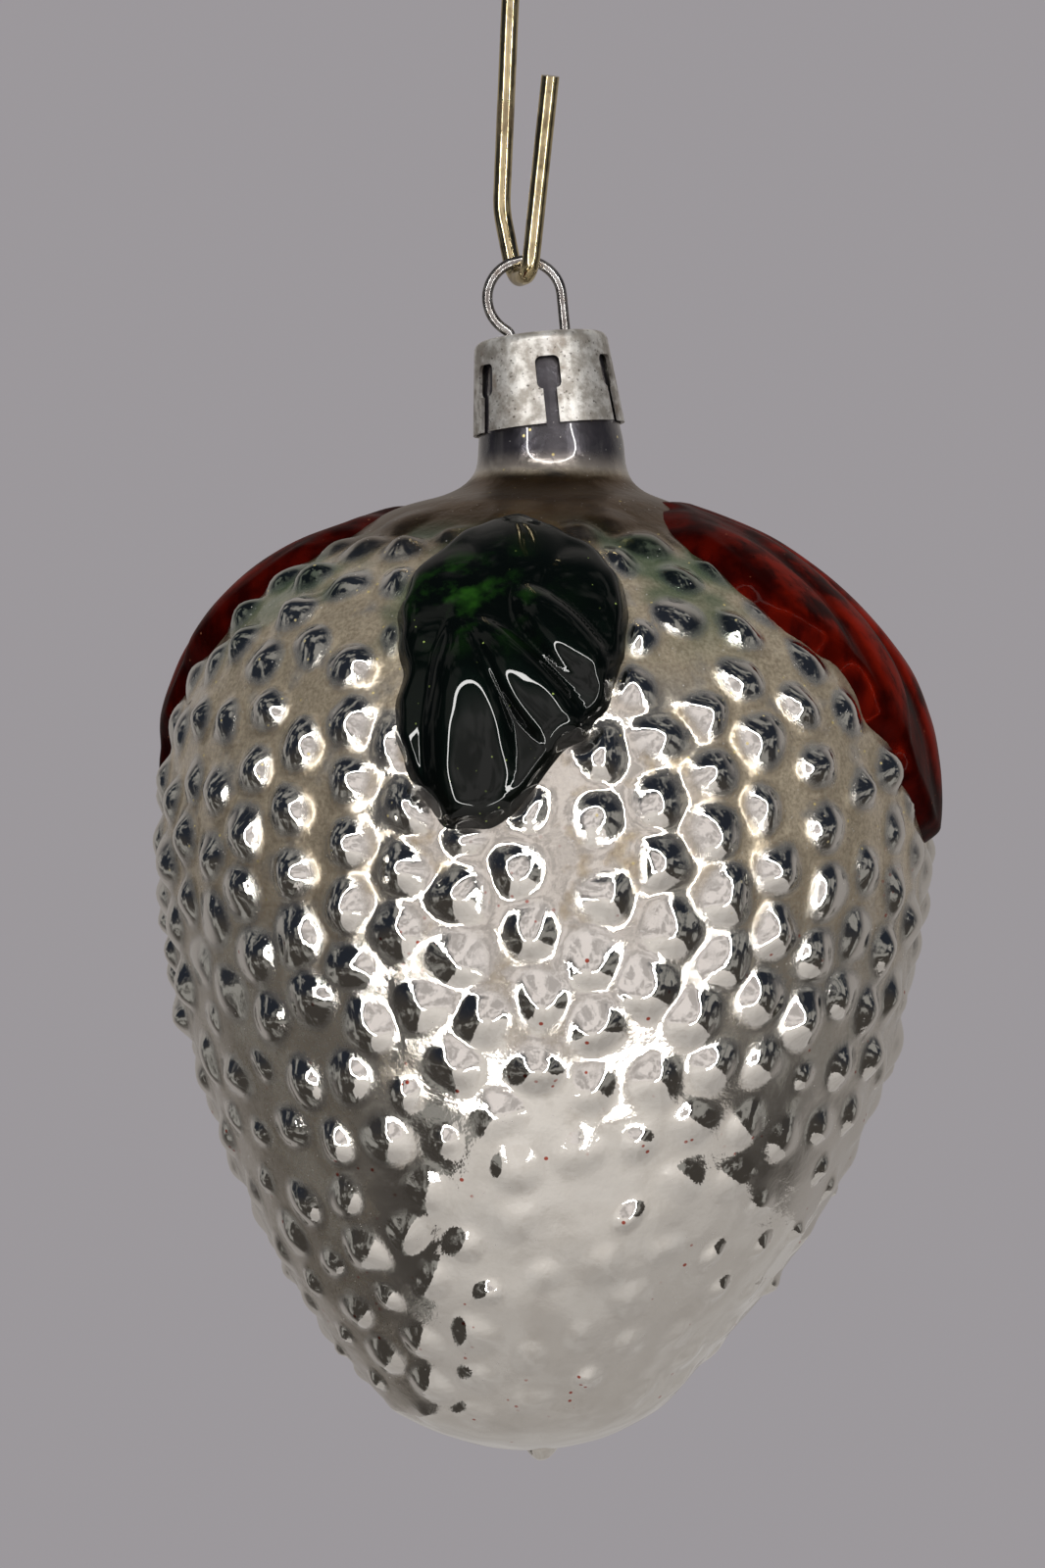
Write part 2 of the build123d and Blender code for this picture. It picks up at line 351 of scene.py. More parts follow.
def berry_skin():
    """The beaded skin as a grid of points, with how near the top of a bead each point is, 0 to 1."""
    turn = np.linspace(0, 2 * math.pi, COLUMNS, endpoint=False)
    theta, length = np.meshgrid(turn, np.linspace(0.35, BERRY_LENGTH, SKIN_ROWS))
    _, height = along(length)
    zone = bead_zone(height)
    depth = leaf_depth(wrap(theta), height)
    # Beads stop at a leaf's edge. The ground stays low there and rises only well under the leaf.
    bare = smooth(0.6, -0.6, depth)
    ground = 1 - 0.7 * smooth(0.7, 2.2, depth)
    x, y, z = place(theta, length)
    # The blown glass is uneven, with broad swells, fine ripples and shallow dents.
    swell = 0.16 * soft_noise(x, y, z, 9.0) + 0.06 * soft_noise(x, y, z, 2.6, 5.0)
    dents = 0.15 * soft_noise(x, y, z, 4.6, 31.0) * smooth(6, 14, height) * smooth(58, 48, height)
    # In patches the beads are lower, above all half way up.
    worn = 0.2 + 0.8 * smooth(24, 30, height) * smooth(45, 37, height)
    patch = np.clip(0.98 + worn * soft_noise(x, y, z, 9.0, 9.0), 0.4, 1.12)
    # A small shift of the grid makes every bead a little out of round.
    radius, _ = along(length)
    aside, up = (0.55 * soft_noise(x, y, z, 2.6, seed) for seed in (41.0, 53.0))
    relief, share = bead_relief(wrap(theta + aside / radius), length + up, length[:, 0])
    lift = relief * zone * bare * patch - VALLEY * zone * ground
    lift = lift + dents + swell * smooth(66, 58, height)
    return np.stack(place(theta, length, lift), axis=-1).reshape(-1, 3), (share * zone * bare).ravel()


def neck_profile():
    """Distances below the cap's top with their radii: up the neck and over its rim, then down the bore."""
    top_down = CAP_CENTRE.z - POLE_Z - BODY_LENGTH
    slope = (OUTLINE[-1][0] - NECK_RIM_R) / (top_down - RIM_DROP)
    bore_slope = (BORE_FOOT_R - BORE_RIM_R) / NECK_LENGTH
    middle, half = (NECK_RIM_R + BORE_RIM_R) / 2, (NECK_RIM_R - BORE_RIM_R) / 2
    outside = np.linspace(top_down - 0.5, RIM_DROP + 0.35, 10)
    inside = np.linspace(RIM_DROP + 0.6, NECK_LENGTH, 8)
    up = [(d, NECK_RIM_R + slope * (d - RIM_DROP)) for d in outside]
    over = []
    for k in range(1, 6):
        turn = math.pi * k / 6
        over.append((RIM_DROP + 0.3 - 0.3 * math.sin(turn), middle + half * math.cos(turn)))
    down = [(d, BORE_RIM_R + bore_slope * (d - RIM_DROP)) for d in inside]
    return up + over, down


def make_berry(material):
    """The blown berry: beaded skin, neck, rim, bore and inner wall as one closed surface."""
    skin, beads = berry_skin()
    verts = [tuple(v) for v in skin]
    outer, bore = neck_profile()
    for down, radius in outer:
        verts.extend(tuple(p) for p in neck_ring(down, radius, COLUMNS))
    outer_rows = SKIN_ROWS + len(outer)
    faces = grid_faces(outer_rows, COLUMNS)
    # The bore and the inner wall have a quarter of the columns.
    inner_start = len(verts)
    for down, radius in bore:
        verts.extend(tuple(p) for p in neck_ring(down, radius, INNER_COLUMNS))
    turn = np.linspace(0, 2 * math.pi, INNER_COLUMNS, endpoint=False)
    for length in np.linspace(BERRY_LENGTH - 3.2, 0.35, INNER_ROWS):
        verts.extend(zip(*place(turn, np.full(INNER_COLUMNS, length), -WALL)))
    faces += grid_faces(len(bore) + INNER_ROWS, INNER_COLUMNS, inner_start)
    # Between the rim and the bore, each face joins four columns to one.
    last = (outer_rows - 1) * COLUMNS
    for j in range(INNER_COLUMNS):
        fine = [last + (4 * j + k) % COLUMNS for k in range(5)]
        faces.append((*fine, inner_start + (j + 1) % INNER_COLUMNS, inner_start + j))
    # Fans close the skin and the inner wall at the pole.
    for pole_z, start, columns, flip in (
        (POLE_Z, 0, COLUMNS, True),
        (POLE_Z + WALL, len(verts) - INNER_COLUMNS, INNER_COLUMNS, False),
    ):
        tip = len(verts)
        verts.append((BODY_X + drift(0), 0, pole_z))
        for j in range(columns):
            a, b = start + j, start + (j + 1) % columns
            faces.append((b, a, tip) if flip else (a, b, tip))
    berry = mesh_object("glass_berry", verts, faces, material)
    add_attribute(berry, "bead", np.concatenate([beads, np.zeros(len(verts) - len(beads))]))
    return berry


def make_film(material):
    """Silvering on the inside of the glass, a thin closed shell."""
    turn = np.linspace(0, 2 * math.pi, INNER_COLUMNS, endpoint=False)
    rows = 44
    up = np.linspace(0.35, BERRY_LENGTH - 4.5, rows)
    verts = []
    for lengths, depth in ((up, WALL + FILM_GAP), (up[::-1], WALL + FILM_GAP + FILM_THICKNESS)):
        for length in lengths:
            verts.extend(zip(*place(turn, np.full(INNER_COLUMNS, length), -depth)))
    faces = grid_faces(2 * rows, INNER_COLUMNS)
    faces.append(tuple(range(INNER_COLUMNS))[::-1])
    faces.append(tuple(range((2 * rows - 1) * INNER_COLUMNS, 2 * rows * INNER_COLUMNS)))
    return mesh_object("silver_film", verts, faces, material)


def make_pip(material):
    """Sealed tip of the blowing tube, a small drop of glass beside the pole."""
    columns, rows = 40, 12
    middle, reach = (BODY_X - 0.2, 0.0, POLE_Z - 0.05), 0.85
    verts = []
    for i in range(rows):
        share = i / (rows - 1)
        down = math.pi * (0.42 + 0.56 * share)
        # It flares where it meets the berry.
        radius = reach * math.sin(down) * (1 + 0.55 * (1 - share) ** 3)
        for j in range(columns):
            turn = 2 * math.pi * j / columns
            dent = 1 + 0.04 * math.sin(3 * turn + 1)
            verts.append((
                middle[0] + radius * dent * math.cos(turn),
                middle[1] + radius * dent * math.sin(turn),
                middle[2] + reach * math.cos(down),
            ))
    faces = [face[::-1] for face in grid_faces(rows, columns)]
    faces.append(tuple(range(columns)))
    faces.append(tuple((rows - 1) * columns + j for j in reversed(range(columns))))
    return mesh_object("glass_pip", verts, faces, material)


# ---- Leaves ----------------------------------------------------------------------------------------
# Lobes of each leaf: middle (sideways, height), half length, half width, lean in degrees of the end that
# it narrows towards, height, and how much it narrows.
FRONT_LOBES = [
    ((-4.9, 50.6), 7.6, 2.9, 93, 1.00, 0.35),
    ((-0.9, 52.6), 6.4, 2.0, 128, 1.00, 0.10),
    ((1.4, 56.0), 4.6, 1.9, 131, 0.95, 0.0),
    ((3.6, 59.0), 4.2, 2.8, 160, 0.35, 0.0),
    ((-1.2, 61.6), 4.2, 3.2, 80, 0.30, 0.0),
    ((-6.0, 58.6), 4.8, 3.1, 30, 0.40, 0.0),
]
SIDE_LOBES = [
    ((0.0, 55.0), 12.5, 2.6, 90, 0.55, 0.1),
    ((4.9, 57.0), 9.5, 2.5, 112, 0.5, 0.1),
    ((-4.9, 57.0), 9.5, 2.5, 68, 0.5, 0.1),
    ((9.4, 59.0), 6.3, 2.3, 118, 0.42, 0.0),
    ((-9.4, 59.0), 6.3, 2.3, 62, 0.42, 0.0),
]
BACK_LOBES = [
    ((-u, v), long, wide, 180 - lean, tall, narrow) for (u, v), long, wide, lean, tall, narrow in FRONT_LOBES
]


def lobe_relief(lobes, u, v):
    """Height of the puffed lobes over points of a leaf."""
    total = np.zeros(u.shape)
    for (u0, v0), long, wide, lean, tall, narrow in lobes:
        c, s = math.cos(math.radians(lean)), math.sin(math.radians(lean))
        a = ((u - u0) * c + (v - v0) * s) / long
        b = (-(u - u0) * s + (v - v0) * c) / (wide * (1 - narrow * np.clip(a, -1, 1)))
        # Flat on top, with steep flanks.
        total += (tall * np.clip(1 - (a * a + b * b) ** 1.7, 0, 1) ** 1.3) ** 6
    return total ** (1 / 6)


EDGE_LIFT = -1.05  # the rim of each leaf lies this far under the CAD's skin, lower than the valleys


def make_leaf(name, middle, lobes, pad, glow_at, material):
    """Raised leaf, closed underneath: its rim dips into the berry's skin all round.

    middle is the point that its rings shrink towards, and pad its height between the lobes. glow_at is the
    patch where the lacquer is thinnest: its middle, half width and half height.
    """
    line, azimuth = LEAVES[name]
    rings = 46
    centre = np.array(middle)
    under = np.array([0.02, 0.35, 0.7, 1.0])
    over = 1 - (1 - np.linspace(1, 0.02, rings)) ** 1.35
    shares = np.concatenate([under, over])
    rows = centre + (line - centre) * shares[:, None, None]
    u, v = rows[:, :, 0], rows[:, :, 1]
    inside = np.maximum(edge_distance(line, u, v), 0)
    relief = lobe_relief(lobes, u, v) * smooth(0.1, 2.0, inside)
    lift = EDGE_LIFT + (pad - EDGE_LIFT) * smooth(0, 1.3, inside) ** 0.7 + relief
    lift = lift + 0.05 * soft_noise(u, v, np.zeros(u.shape), 2.2, 3 + azimuth)
    lift[: len(under)] = EDGE_LIFT - 0.1
    theta = azimuth + leaf_angle(u, v)
    points = np.stack(place(theta, length_at(v), lift), axis=-1).reshape(-1, 3)
    cols = len(line)
    last = (len(shares) - 1) * cols
    faces = grid_faces(len(shares), cols)
    faces.append(tuple(range(cols))[::-1])
    faces.append(tuple(range(last, last + cols)))
    leaf = mesh_object(name + "_lacquer", points, faces, material)
    glow_u, glow_v, half_width, half_height = glow_at
    glow = np.exp(-(((u - glow_u) / half_width) ** 2) - ((v - glow_v) / half_height) ** 2)
    # Lacquer runs thin on the lobes and pools in the creases; this also paints a sheen on the lobe tops and
    # shade in the creases.
    glow = glow * (0.35 + 0.65 * smooth(0.05, 0.42, relief))
    add_attribute(leaf, "glow", glow.ravel())
    return leaf


# ---- Materials -------------------------------------------------------------------------------------
class Nodes:
    """Small helper that builds one material's node tree."""

    def __init__(self, name):
        self.material = bpy.data.materials.new(name)
        self.material.use_nodes = True
        self.tree = self.material.node_tree
        self.shader = self.tree.nodes["Principled BSDF"]
        self.coords = self.add("ShaderNodeTexCoord").outputs["Object"]

    def add(self, kind, **inputs):
        """New node, with the inputs that are named."""
        node = self.tree.nodes.new(kind)
        for key, value in inputs.items():
            self.feed(node.inputs[key], value)
        return node

    def feed(self, socket, value):
        """Links another node's output to a socket, or sets a plain value on it."""
        if isinstance(value, bpy.types.NodeSocket):
            self.tree.links.new(value, socket)
        else:
            socket.default_value = value

    def put(self, **values):
        """Sets the shader's sockets; underscores in the names stand for spaces."""
        for key, value in values.items():
            self.feed(self.shader.inputs[key.replace("_", " ")], value)

    def attribute(self, name):
        """Number that the mesh carries at each vertex."""
        node = self.add("ShaderNodeAttribute")
        node.attribute_name = name
        return node.outputs["Fac"]

    def noise(self, scale, detail, rough=0.55, stretch=(1, 1, 1), shift=0.0):
        """Noise over the object, its scale counted in cells per millimetre."""
        mapping = self.add("ShaderNodeMapping", Vector=self.coords)
        mapping.inputs["Scale"].default_value = [1000 * scale * k for k in stretch]
        mapping.inputs["Location"].default_value = (shift, shift * 0.7, shift * 0.3)
        node = self.add("ShaderNodeTexNoise", Vector=mapping.outputs[0])
        node.inputs["Scale"].default_value = 1.0
        node.inputs["Detail"].default_value = detail
        node.inputs["Roughness"].default_value = rough
        return node.outputs["Fac"]

    def cells(self, scale, shift):
        """Distance to scattered points, in cells per millimetre."""
        mapping = self.add("ShaderNodeMapping", Vector=self.coords)
        mapping.inputs["Scale"].default_value = [1000 * scale] * 3
        mapping.inputs["Location"].default_value = (shift, shift, shift)
        node = self.add("ShaderNodeTexVoronoi", Vector=mapping.outputs[0])
        node.inputs["Scale"].default_value = 1.0
        return node.outputs["Distance"]

    def ramp(self, value, low, high):
        """0 below low and 1 above high, smooth between; low may be the greater."""
        node = self.add("ShaderNodeMapRange", Value=value)
        node.interpolation_type = "SMOOTHSTEP"
        node.inputs["From Min"].default_value = low
        node.inputs["From Max"].default_value = high
        return node.outputs[0]

    def math(self, operation, a, b=0.0, clamp=False):
        """Result of one Math node."""
        node = self.add("ShaderNodeMath")
        node.operation = operation
        node.use_clamp = clamp
        self.feed(node.inputs[0], a)
        self.feed(node.inputs[1], b)
        return node.outputs[0]

    def times(self, product, *factors):
        """All the numbers multiplied together."""
        for factor in factors:
            product = self.math("MULTIPLY", product, factor)
        return product

    def mix(self, share, a, b):
        """Colour a where share is 0, b where it is 1."""
        node = self.add("ShaderNodeMix")
        node.data_type = "RGBA"
        self.feed(node.inputs[0], share)
        for socket, value in ((node.inputs[6], a), (node.inputs[7], b)):
            self.feed(socket, value if isinstance(value, bpy.types.NodeSocket) else (*value, 1))
        return node.outputs[2]

    def between(self, share, a, b):
        """Number a where share is 0, b where it is 1."""
        node = self.add("ShaderNodeMix")
        self.feed(node.inputs[0], share)
        self.feed(node.inputs[2], a)
        self.feed(node.inputs[3], b)
        return node.outputs[0]

    def axis(self, index):
        """One object coordinate in millimetres."""
        node = self.add("ShaderNodeSeparateXYZ", Vector=self.coords)
        return self.math("MULTIPLY", node.outputs[index], 1000.0)

    def bump(self, height, depth_mm):
        """Fine relief on the shader, depth_mm deep for a height from 0 to 1."""
        node = self.add("ShaderNodeBump", Height=height)
        node.inputs["Distance"].default_value = depth_mm * MM
        node.inputs["Strength"].default_value = 1.0
        self.put(Normal=node.outputs[0])


def rubbed_front(n, height):
    """Share of polish on the front, where the mirror goes on between the beads."""
    aside = n.math("ABSOLUTE", n.math("SUBTRACT", n.axis(0), BODY_X - 1.0))
    return n.times(
        n.ramp(aside, 13.0, 8.0),
        n.ramp(n.axis(1), -10.0, -17.0),
        n.ramp(height, 55.0, 50.0),
        n.ramp(n.noise(0.35, 3.0, shift=29.0), 0.36, 0.50),
    )


def neck_and_shoulder(n, height, shoulder, colour):
    """The berry's colour, with the bronze shoulder, the smoky neck and green smears near the top."""
    streaks = n.noise(0.35, 4.0, stretch=(1, 1, 3), shift=15.0)
    bronze = n.mix(streaks, (0.06, 0.034, 0.014), (0.22, 0.13, 0.06))
    colour = n.mix(n.times(shoulder, 0.95), colour, bronze)
    smoky = n.mix(n.noise(0.5, 3.0, shift=21.0), (0.02, 0.02, 0.03), (0.10, 0.09, 0.10))
    smoky = n.mix(n.ramp(height, 70.0, 68.2), smoky, (0.42, 0.37, 0.32))
    colour = n.mix(n.ramp(height, 67.9, 68.8), colour, smoky)
    smear = n.times(
        n.ramp(height, 53.0, 60.0),
        n.ramp(height, 65.2, 63.0),
        n.ramp(n.noise(0.16, 2.0, shift=8.0), 0.42, 0.6),
    )
    return n.mix(n.times(smear, 0.75), colour, (0.035, 0.12, 0.05))


def flecked(n, height, colour):
    """Adds red specks low down, pale dust and, higher up, gold flecks that are partly painted glints. Gives
    the colour, dust and the gold flecks with their painted glints.
    """
    speck = n.ramp(n.cells(0.32, 4.0), 0.055, 0.035)
    cluster = n.ramp(n.noise(0.22, 2.0, shift=25.0), 0.56, 0.64)
    trace = n.times(n.ramp(n.cells(1.1, 23.0), 0.18, 0.10), cluster)
    speck = n.times(n.math("MAXIMUM", speck, trace), n.ramp(height, 46.0, 36.0))
    colour = n.mix(speck, colour, (0.42, 0.06, 0.03))
    cluster = n.ramp(n.noise(0.5, 3.0, shift=17.0), 0.48, 0.62)
    dust = n.times(n.ramp(n.cells(2.2, 9.0), 0.14, 0.08), cluster)
    colour = n.mix(dust, colour, (0.85, 0.82, 0.78))
    # Gold flecks, partly painted yellow glints: bright matte specks on the upper berry.
    gold_and_glints = n.times(n.ramp(n.cells(0.7, 14.0), 0.09, 0.05), n.ramp(height, 36.0, 44.0))
    colour = n.mix(n.times(gold_and_glints, 0.8), colour, (0.95, 0.78, 0.30))
    return colour, dust, gold_and_glints


def silvered_glass():
    """Silver seen through the glass in front of it: bright on the beads, and between them dull tan that is
    partly stain and partly a painted reflection of beige surroundings.
    """
    n = Nodes("silvered_glass")
    height = n.math("SUBTRACT", n.axis(2), POLE_Z)
    cloud = n.noise(0.28, 4.0)
    grain = n.noise(3.6, 5.0, 0.7, shift=3.0)
    # How near the top of a bead, with a grainy border; low down the bright tops are broader.
    edge = n.math("ADD", n.attribute("bead"), n.times(n.math("SUBTRACT", grain, 0.5), 0.35))
    edge = n.math("ADD", edge, n.times(n.ramp(height, 46.0, 32.0), 0.22))
    # The tan between the beads, partly stain and partly a painted reflection of beige surroundings, is
    # weaker low on the berry, except at the left, and on the front.
    low = n.times(n.ramp(height, 36.0, 20.0), n.ramp(n.axis(0), -9.0, -5.0))
    stain_and_painted_reflection = n.times(n.ramp(edge, 0.52, 0.06), n.ramp(cloud, 0.10, 0.45), n.between(low, 0.85, 0.10))
    stain_and_painted_reflection = n.times(stain_and_painted_reflection, n.between(rubbed_front(n, height), 1.0, 0.25))
    silver = n.mix(cloud, (0.88, 0.86, 0.82), (0.76, 0.73, 0.68))
    tan = n.mix(n.ramp(grain, 0.30, 0.70), (0.34, 0.25, 0.14), (0.70, 0.58, 0.39))
    # Painted shade: the tan turns dark brown towards the foot of each bead.
    tan = n.mix(n.ramp(edge, 0.03, 0.40), tan, (0.16, 0.125, 0.07))
    shoulder = n.times(n.ramp(height, 60.8, 64.6), n.ramp(height, 68.8, 67.6))
    colour = neck_and_shoulder(n, height, shoulder, n.mix(stain_and_painted_reflection, silver, tan))
    colour, dust, gold_and_glints = flecked(n, height, colour)
    matte = n.math("MAXIMUM", n.math("MAXIMUM", stain_and_painted_reflection, shoulder), n.math("MAXIMUM", dust, gold_and_glints))
    n.put(
        Base_Color=colour,
        Metallic=n.between(n.math("SUBTRACT", matte, shoulder, clamp=True), 1.0, 0.45),
        Roughness=n.between(matte, 0.05, 0.32),
        Coat_Weight=n.between(shoulder, 1.0, 0.08),
        Coat_Roughness=0.015,
        Coat_IOR=1.5,
    )
    n.bump(n.times(n.noise(0.9, 3.0, shift=2.0), n.between(stain_and_painted_reflection, 0.6, 1.8)), 0.05)
    return n.material


def silver_film():
    """Back of the silvering, seen only down the neck: grey and dull."""
    n = Nodes("silver_back")
    cloud = n.noise(0.4, 4.0)
    n.put(
        Base_Color=n.mix(cloud, (0.40, 0.38, 0.35), (0.62, 0.60, 0.57)),
        Metallic=0.8,
        Roughness=n.between(cloud, 0.30, 0.55),
    )
    n.bump(cloud, 0.05)
    return n.material


def lacquer(name, deep, thin, stretch, limits, coat, fleck):
    """Transparent coloured lacquer over silver: nearly black where thick, glowing where thin.

    stretch and limits shape the mottling, and fleck is the colour of the dust on it.
    """
    n = Nodes(name)
    mottle = n.noise(0.32, 4.0, stretch=stretch, shift=5.0)
    cloud = n.noise(0.22, 3.0, shift=11.0)
    colour = n.mix(n.times(n.ramp(mottle, *limits), n.attribute("glow")), deep, thin)
    dust = n.times(n.ramp(n.cells(1.1, 6.0), 0.10, 0.06), n.ramp(n.noise(0.7, 2.0, shift=1.0), 0.50, 0.62))
    colour = n.mix(n.times(dust, 0.7), colour, fleck)
    n.put(
        Base_Color=colour,
        Metallic=n.between(dust, 0.4, 0.0),
        Roughness=n.between(cloud, 0.26, 0.44),
        Specular_Tint=(*[k**0.5 for k in deep], 1),
        Specular_IOR_Level=0.06,
        Coat_Weight=coat,
        Coat_Roughness=0.02,
        Coat_IOR=1.5,
    )
    n.bump(n.noise(0.8, 3.0, shift=7.0), 0.03)
    return n.material


def worn_metal(name, light, dark, rough, scale, depth, metallic=1.0, pitted=0.3):
    """Bare metal with tarnish in blotches, fine grain, dark pits and a little brown."""
    n = Nodes(name)
    blotch = n.noise(scale, 5.0, 0.62)
    grain = n.noise(scale * 6, 3.0, shift=3.0)
    colour = n.mix(n.ramp(blotch, 0.38, 0.64), dark, light)
    brown = n.ramp(n.noise(scale * 0.7, 4.0, shift=6.0), 0.56, 0.72)
    colour = n.mix(n.times(brown, 0.5), colour, (0.20, 0.13, 0.08))
    pits = n.times(n.ramp(n.cells(scale * 3, 5.0), 0.34, 0.16), n.ramp(grain, 0.48, 0.60))
    colour = n.mix(n.times(pits, pitted), colour, (0.08, 0.065, 0.05))
    n.put(
        Base_Color=colour,
        Metallic=n.between(brown, metallic, metallic * 0.6),
        Roughness=n.between(blotch, rough[1], rough[0]),
    )
    n.bump(n.math("ADD", n.times(blotch, 0.7), n.times(grain, 0.3)), depth)
    return n.material


SILVERED = silvered_glass()
GREEN = lacquer(
    "green_lacquer",
    deep=(0.002, 0.004, 0.003),
    thin=(0.025, 0.105, 0.010),
    stretch=(1, 1, 1),
    limits=(0.46, 0.64),
    coat=0.65,
    fleck=(0.60, 0.80, 0.20),
)
RED = lacquer(
    "red_lacquer",
    deep=(0.022, 0.0008, 0.0005),
    thin=(0.30, 0.012, 0.002),
    stretch=(1.5, 1.5, 0.8),
    limits=(0.34, 0.66),
    coat=0.012,
    fleck=(0.5, 0.2, 0.1),
)
TIN = worn_metal(
    "cap_tin",
    light=(0.76, 0.74, 0.70),
    dark=(0.38, 0.35, 0.31),
    rough=(0.34, 0.55),
    scale=0.9,
    depth=0.05,
    metallic=0.6,
    pitted=0.85,
)
SPRING = worn_metal(
    "spring_wire",
    light=(0.50, 0.49, 0.48),
    dark=(0.24, 0.22, 0.21),
    rough=(0.16, 0.28),
    scale=1.2,
    depth=0.01,
)
BRASSY = worn_metal(
    "hook_wire",
    light=(0.80, 0.67, 0.40),
    dark=(0.36, 0.29, 0.17),
    rough=(0.08, 0.18),
    scale=0.35,
    depth=0.003,
)


# ---- Pieces ----------------------------------------------------------------------------------------
berry = make_berry(SILVERED)
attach(berry, "glass")
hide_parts("glass_body", "glass_neck")

film = make_film(silver_film())
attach(film, "glass")
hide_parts("silver_lining")

pip = make_pip(SILVERED)
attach(pip, "glass")

leaves = [
    ("front_leaf", (-3.0, 55.0), FRONT_LOBES, 0.36, (-4.2, 58.6, 3.4, 2.6), GREEN, "green_lacquer"),
    ("back_leaf", (3.0, 55.0), BACK_LOBES, 0.36, (4.2, 58.6, 3.4, 2.6), GREEN, "green_lacquer"),
    ("left_leaf", (0.0, 56.0), SIDE_LOBES, 0.30, (0.0, 56.0, 16.0, 16.0), RED, "red_lacquer"),
    ("right_leaf", (0.0, 56.0), SIDE_LOBES, 0.30, (0.0, 56.0, 16.0, 16.0), RED, "red_lacquer"),
]
for node, middle, lobes, pad, glow_at, material, slot in leaves:
    leaf = make_leaf(node, middle, lobes, pad, glow_at, material)
    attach(leaf, "glass")
    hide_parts(node)

# The metal parts keep their CAD shapes.
for node, material in (("cap", TIN), ("hanger_wire", SPRING), ("hook", BRASSY)):
    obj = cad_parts[node]
    obj.data.materials.clear()
    obj.data.materials.append(material)


# ---- Stage, light and camera -----------------------------------------------------------------------
EYE_Z = -72.7  # height of the camera and of the ring lamp's middle
CAMERA_DISTANCE = 285.0
BODY_MIDDLE = (BODY_X, 0, -80)
RING_DISTANCE, RING_INNER, RING_OUTER = 205, 184, 197
FLOOR_CORNERS = [(-900, -900), (900, -900), (900, 300), (-900, 300)]
TABLE_CORNERS = [(-130, -275), (190, -275), (200, 520), (-75, 520), (-80, 0)]


def make_ring_lamp():
    """Ring lamp round the camera's axis, as a flat glowing annulus that only reflections show."""
    steps = 96
    verts, faces = [], []
    for i in range(steps):
        t = 2 * math.pi * i / steps
        for radius in (RING_INNER, RING_OUTER):
            verts.append((radius * math.cos(t), -RING_DISTANCE, EYE_Z + radius * math.sin(t)))
        a, b = 2 * i, 2 * ((i + 1) % steps)
        faces.append((a, a + 1, b + 1, b))
    n = Nodes("ring_lamp_front")
    n.put(Base_Color=(0, 0, 0, 1), Emission_Color=(1, 0.99, 0.97, 1), Emission_Strength=27.0)
    ring = mesh_object("ring_lamp_front", verts, faces, n.material)
    ring.visible_camera = False
    ring.visible_diffuse = False


def make_world():
    """Plain grey-mauve behind the object, and for its reflections a dark room with paler areas."""
    world = bpy.data.worlds.new("studio")
    bpy.context.scene.world = world
    world.use_nodes = True
    tree = world.node_tree
    tree.nodes.clear()
    direction = tree.nodes.new("ShaderNodeTexCoord").outputs["Generated"]
    split = tree.nodes.new("ShaderNodeSeparateXYZ")
    tree.links.new(direction, split.inputs[0])

    def spread(socket, low, high):
        """0 where the socket is at low and 1 where it is at high, smooth between."""
        node = tree.nodes.new("ShaderNodeMapRange")
        node.interpolation_type = "SMOOTHSTEP"
        node.inputs["From Min"].default_value = low
        node.inputs["From Max"].default_value = high
        tree.links.new(socket, node.inputs["Value"])
        return node.outputs[0]

    def clouds(scale, detail):
        """Noise over all directions."""
        node = tree.nodes.new("ShaderNodeTexNoise")
        node.inputs["Scale"].default_value = scale
        node.inputs["Detail"].default_value = detail
        tree.links.new(direction, node.inputs["Vector"])
        return node.outputs["Fac"]

    def blend(share, a, b):
        """Colour a where share is 0, b where it is 1."""
        node = tree.nodes.new("ShaderNodeMix")
        node.data_type = "RGBA"
        tree.links.new(share, node.inputs[0])
        for socket, value in ((node.inputs[6], a), (node.inputs[7], b)):
            if isinstance(value, tuple):
                socket.default_value = (*value, 1)
            else:
                tree.links.new(value, socket)
        return node.outputs[2]

    # The room is bluer and darker higher up, with paler things about it.
    room = blend(spread(split.outputs["Z"], -0.5, 0.1), (0.050, 0.045, 0.040), (0.018, 0.022, 0.031))
    room = blend(spread(clouds(3.0, 3.0), 0.50, 0.62), room, (0.28, 0.275, 0.26))
    # A backdrop stands behind the object, a little to the right.
    lean = tree.nodes.new("ShaderNodeMath")
    lean.operation = "MULTIPLY_ADD"
    tree.links.new(split.outputs["X"], lean.inputs[0])
    lean.inputs[1].default_value = 0.12
    tree.links.new(split.outputs["Y"], lean.inputs[2])
    room = blend(spread(lean.outputs[0], 0.28, 0.72), room, (0.30, 0.28, 0.265))
    # In front, inside the ring lamp, the object reflects something bright and uneven.
    lamp_lit = blend(spread(clouds(3.5, 2.0), 0.40, 0.58), (0.48, 0.45, 0.44), (0.84, 0.79, 0.78))
    room = blend(spread(split.outputs["Y"], -0.70, -0.82), room, lamp_lit)
    paths = tree.nodes.new("ShaderNodeLightPath")
    seen = blend(paths.outputs["Is Camera Ray"], room, (0.332, 0.314, 0.330))
    back = tree.nodes.new("ShaderNodeBackground")
    tree.links.new(seen, back.inputs["Color"])
    out = tree.nodes.new("ShaderNodeOutputWorld")
    tree.links.new(back.outputs[0], out.inputs["Surface"])


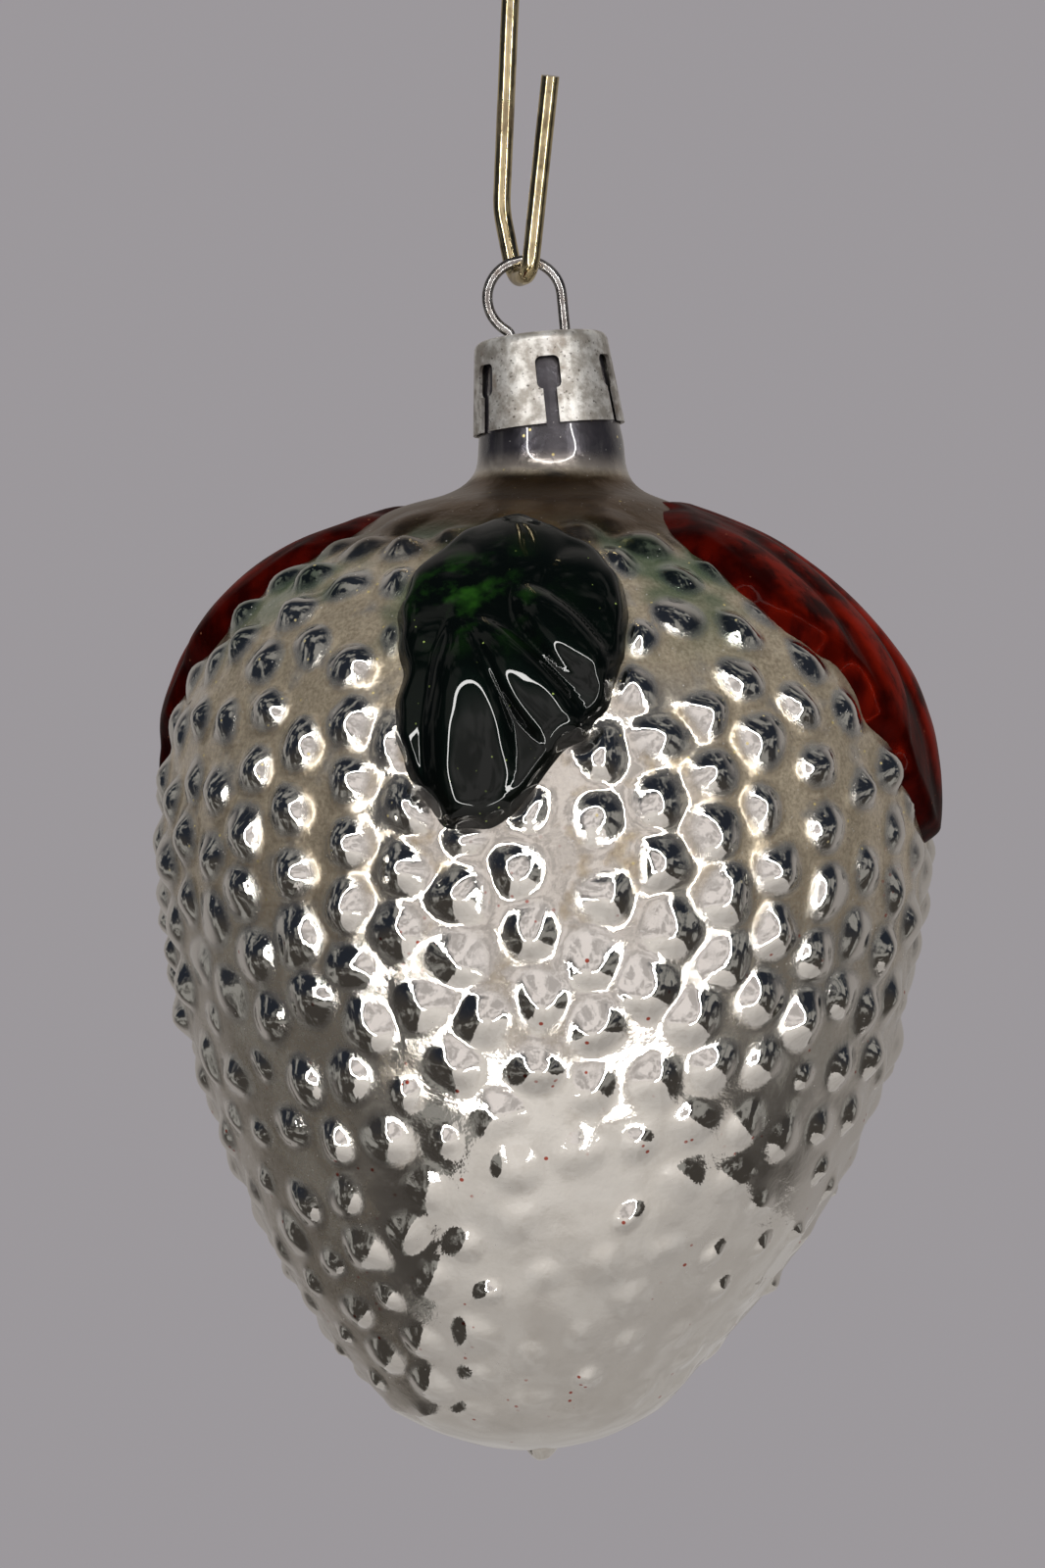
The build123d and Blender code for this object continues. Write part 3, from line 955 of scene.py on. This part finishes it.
def area_light(name, place_mm, size_mm, power):
    """Soft square light aimed at the middle of the berry, and left out of its reflections."""
    light = bpy.data.lights.new(name, "AREA")
    light.size = size_mm * MM
    light.energy = power
    obj = bpy.data.objects.new(name, light)
    obj.location = Vector(place_mm) * MM
    aim = Vector(BODY_MIDDLE) * MM - obj.location
    obj.rotation_euler = aim.to_track_quat("-Z", "Y").to_euler()
    obj.visible_camera = False
    obj.visible_glossy = False
    bpy.context.scene.collection.objects.link(obj)


def level_sheet(name, corners, z, material):
    """Flat sheet of the stage at one level, not seen by the camera itself."""
    face = tuple(range(len(corners)))
    sheet = mesh_object(name, [(x, y, z) for x, y in corners], [face], material)
    sheet.visible_camera = False
    return sheet


def floor_material():
    """Plain pale floor."""
    n = Nodes("floor")
    n.put(Base_Color=(0.62, 0.60, 0.60, 1), Roughness=0.9)
    return n.material


def table_glow():
    """White cloth under the lamp, brightest near the camera."""
    n = Nodes("table_glow")
    cloth = n.noise(0.014, 3.0, 0.6)
    near = n.ramp(n.axis(1), 20.0, -230.0)
    n.put(
        Base_Color=(0, 0, 0, 1),
        Roughness=1.0,
        Emission_Color=n.mix(cloth, (0.95, 0.88, 0.82), (1.0, 0.97, 0.95)),
        Emission_Strength=n.math("ADD", n.times(cloth, 0.30), n.between(near, 0.26, 0.64)),
    )
    return n.material


make_world()
make_ring_lamp()
area_light("overhead", (-120, -160, 380), 300, 1.6)
area_light("side_fill", (420, -260, 60), 260, 0.8)
floor = level_sheet("pale_floor", FLOOR_CORNERS, -250, floor_material())
floor.visible_glossy = False
table = level_sheet("white_table", TABLE_CORNERS, -245, table_glow())
table.visible_diffuse = False

camera_data = bpy.data.cameras.new("camera")
camera_data.sensor_fit = "VERTICAL"
camera_data.sensor_height = 36.0
camera_data.lens = 93.0
camera_data.dof.use_dof = False
camera = bpy.data.objects.new("camera", camera_data)
camera.location = (0, -CAMERA_DISTANCE * MM, EYE_Z * MM)
camera.rotation_euler = (math.radians(90), 0, 0)
bpy.context.scene.collection.objects.link(camera)
bpy.context.scene.camera = camera
bpy.context.scene.view_settings.view_transform = "Standard"
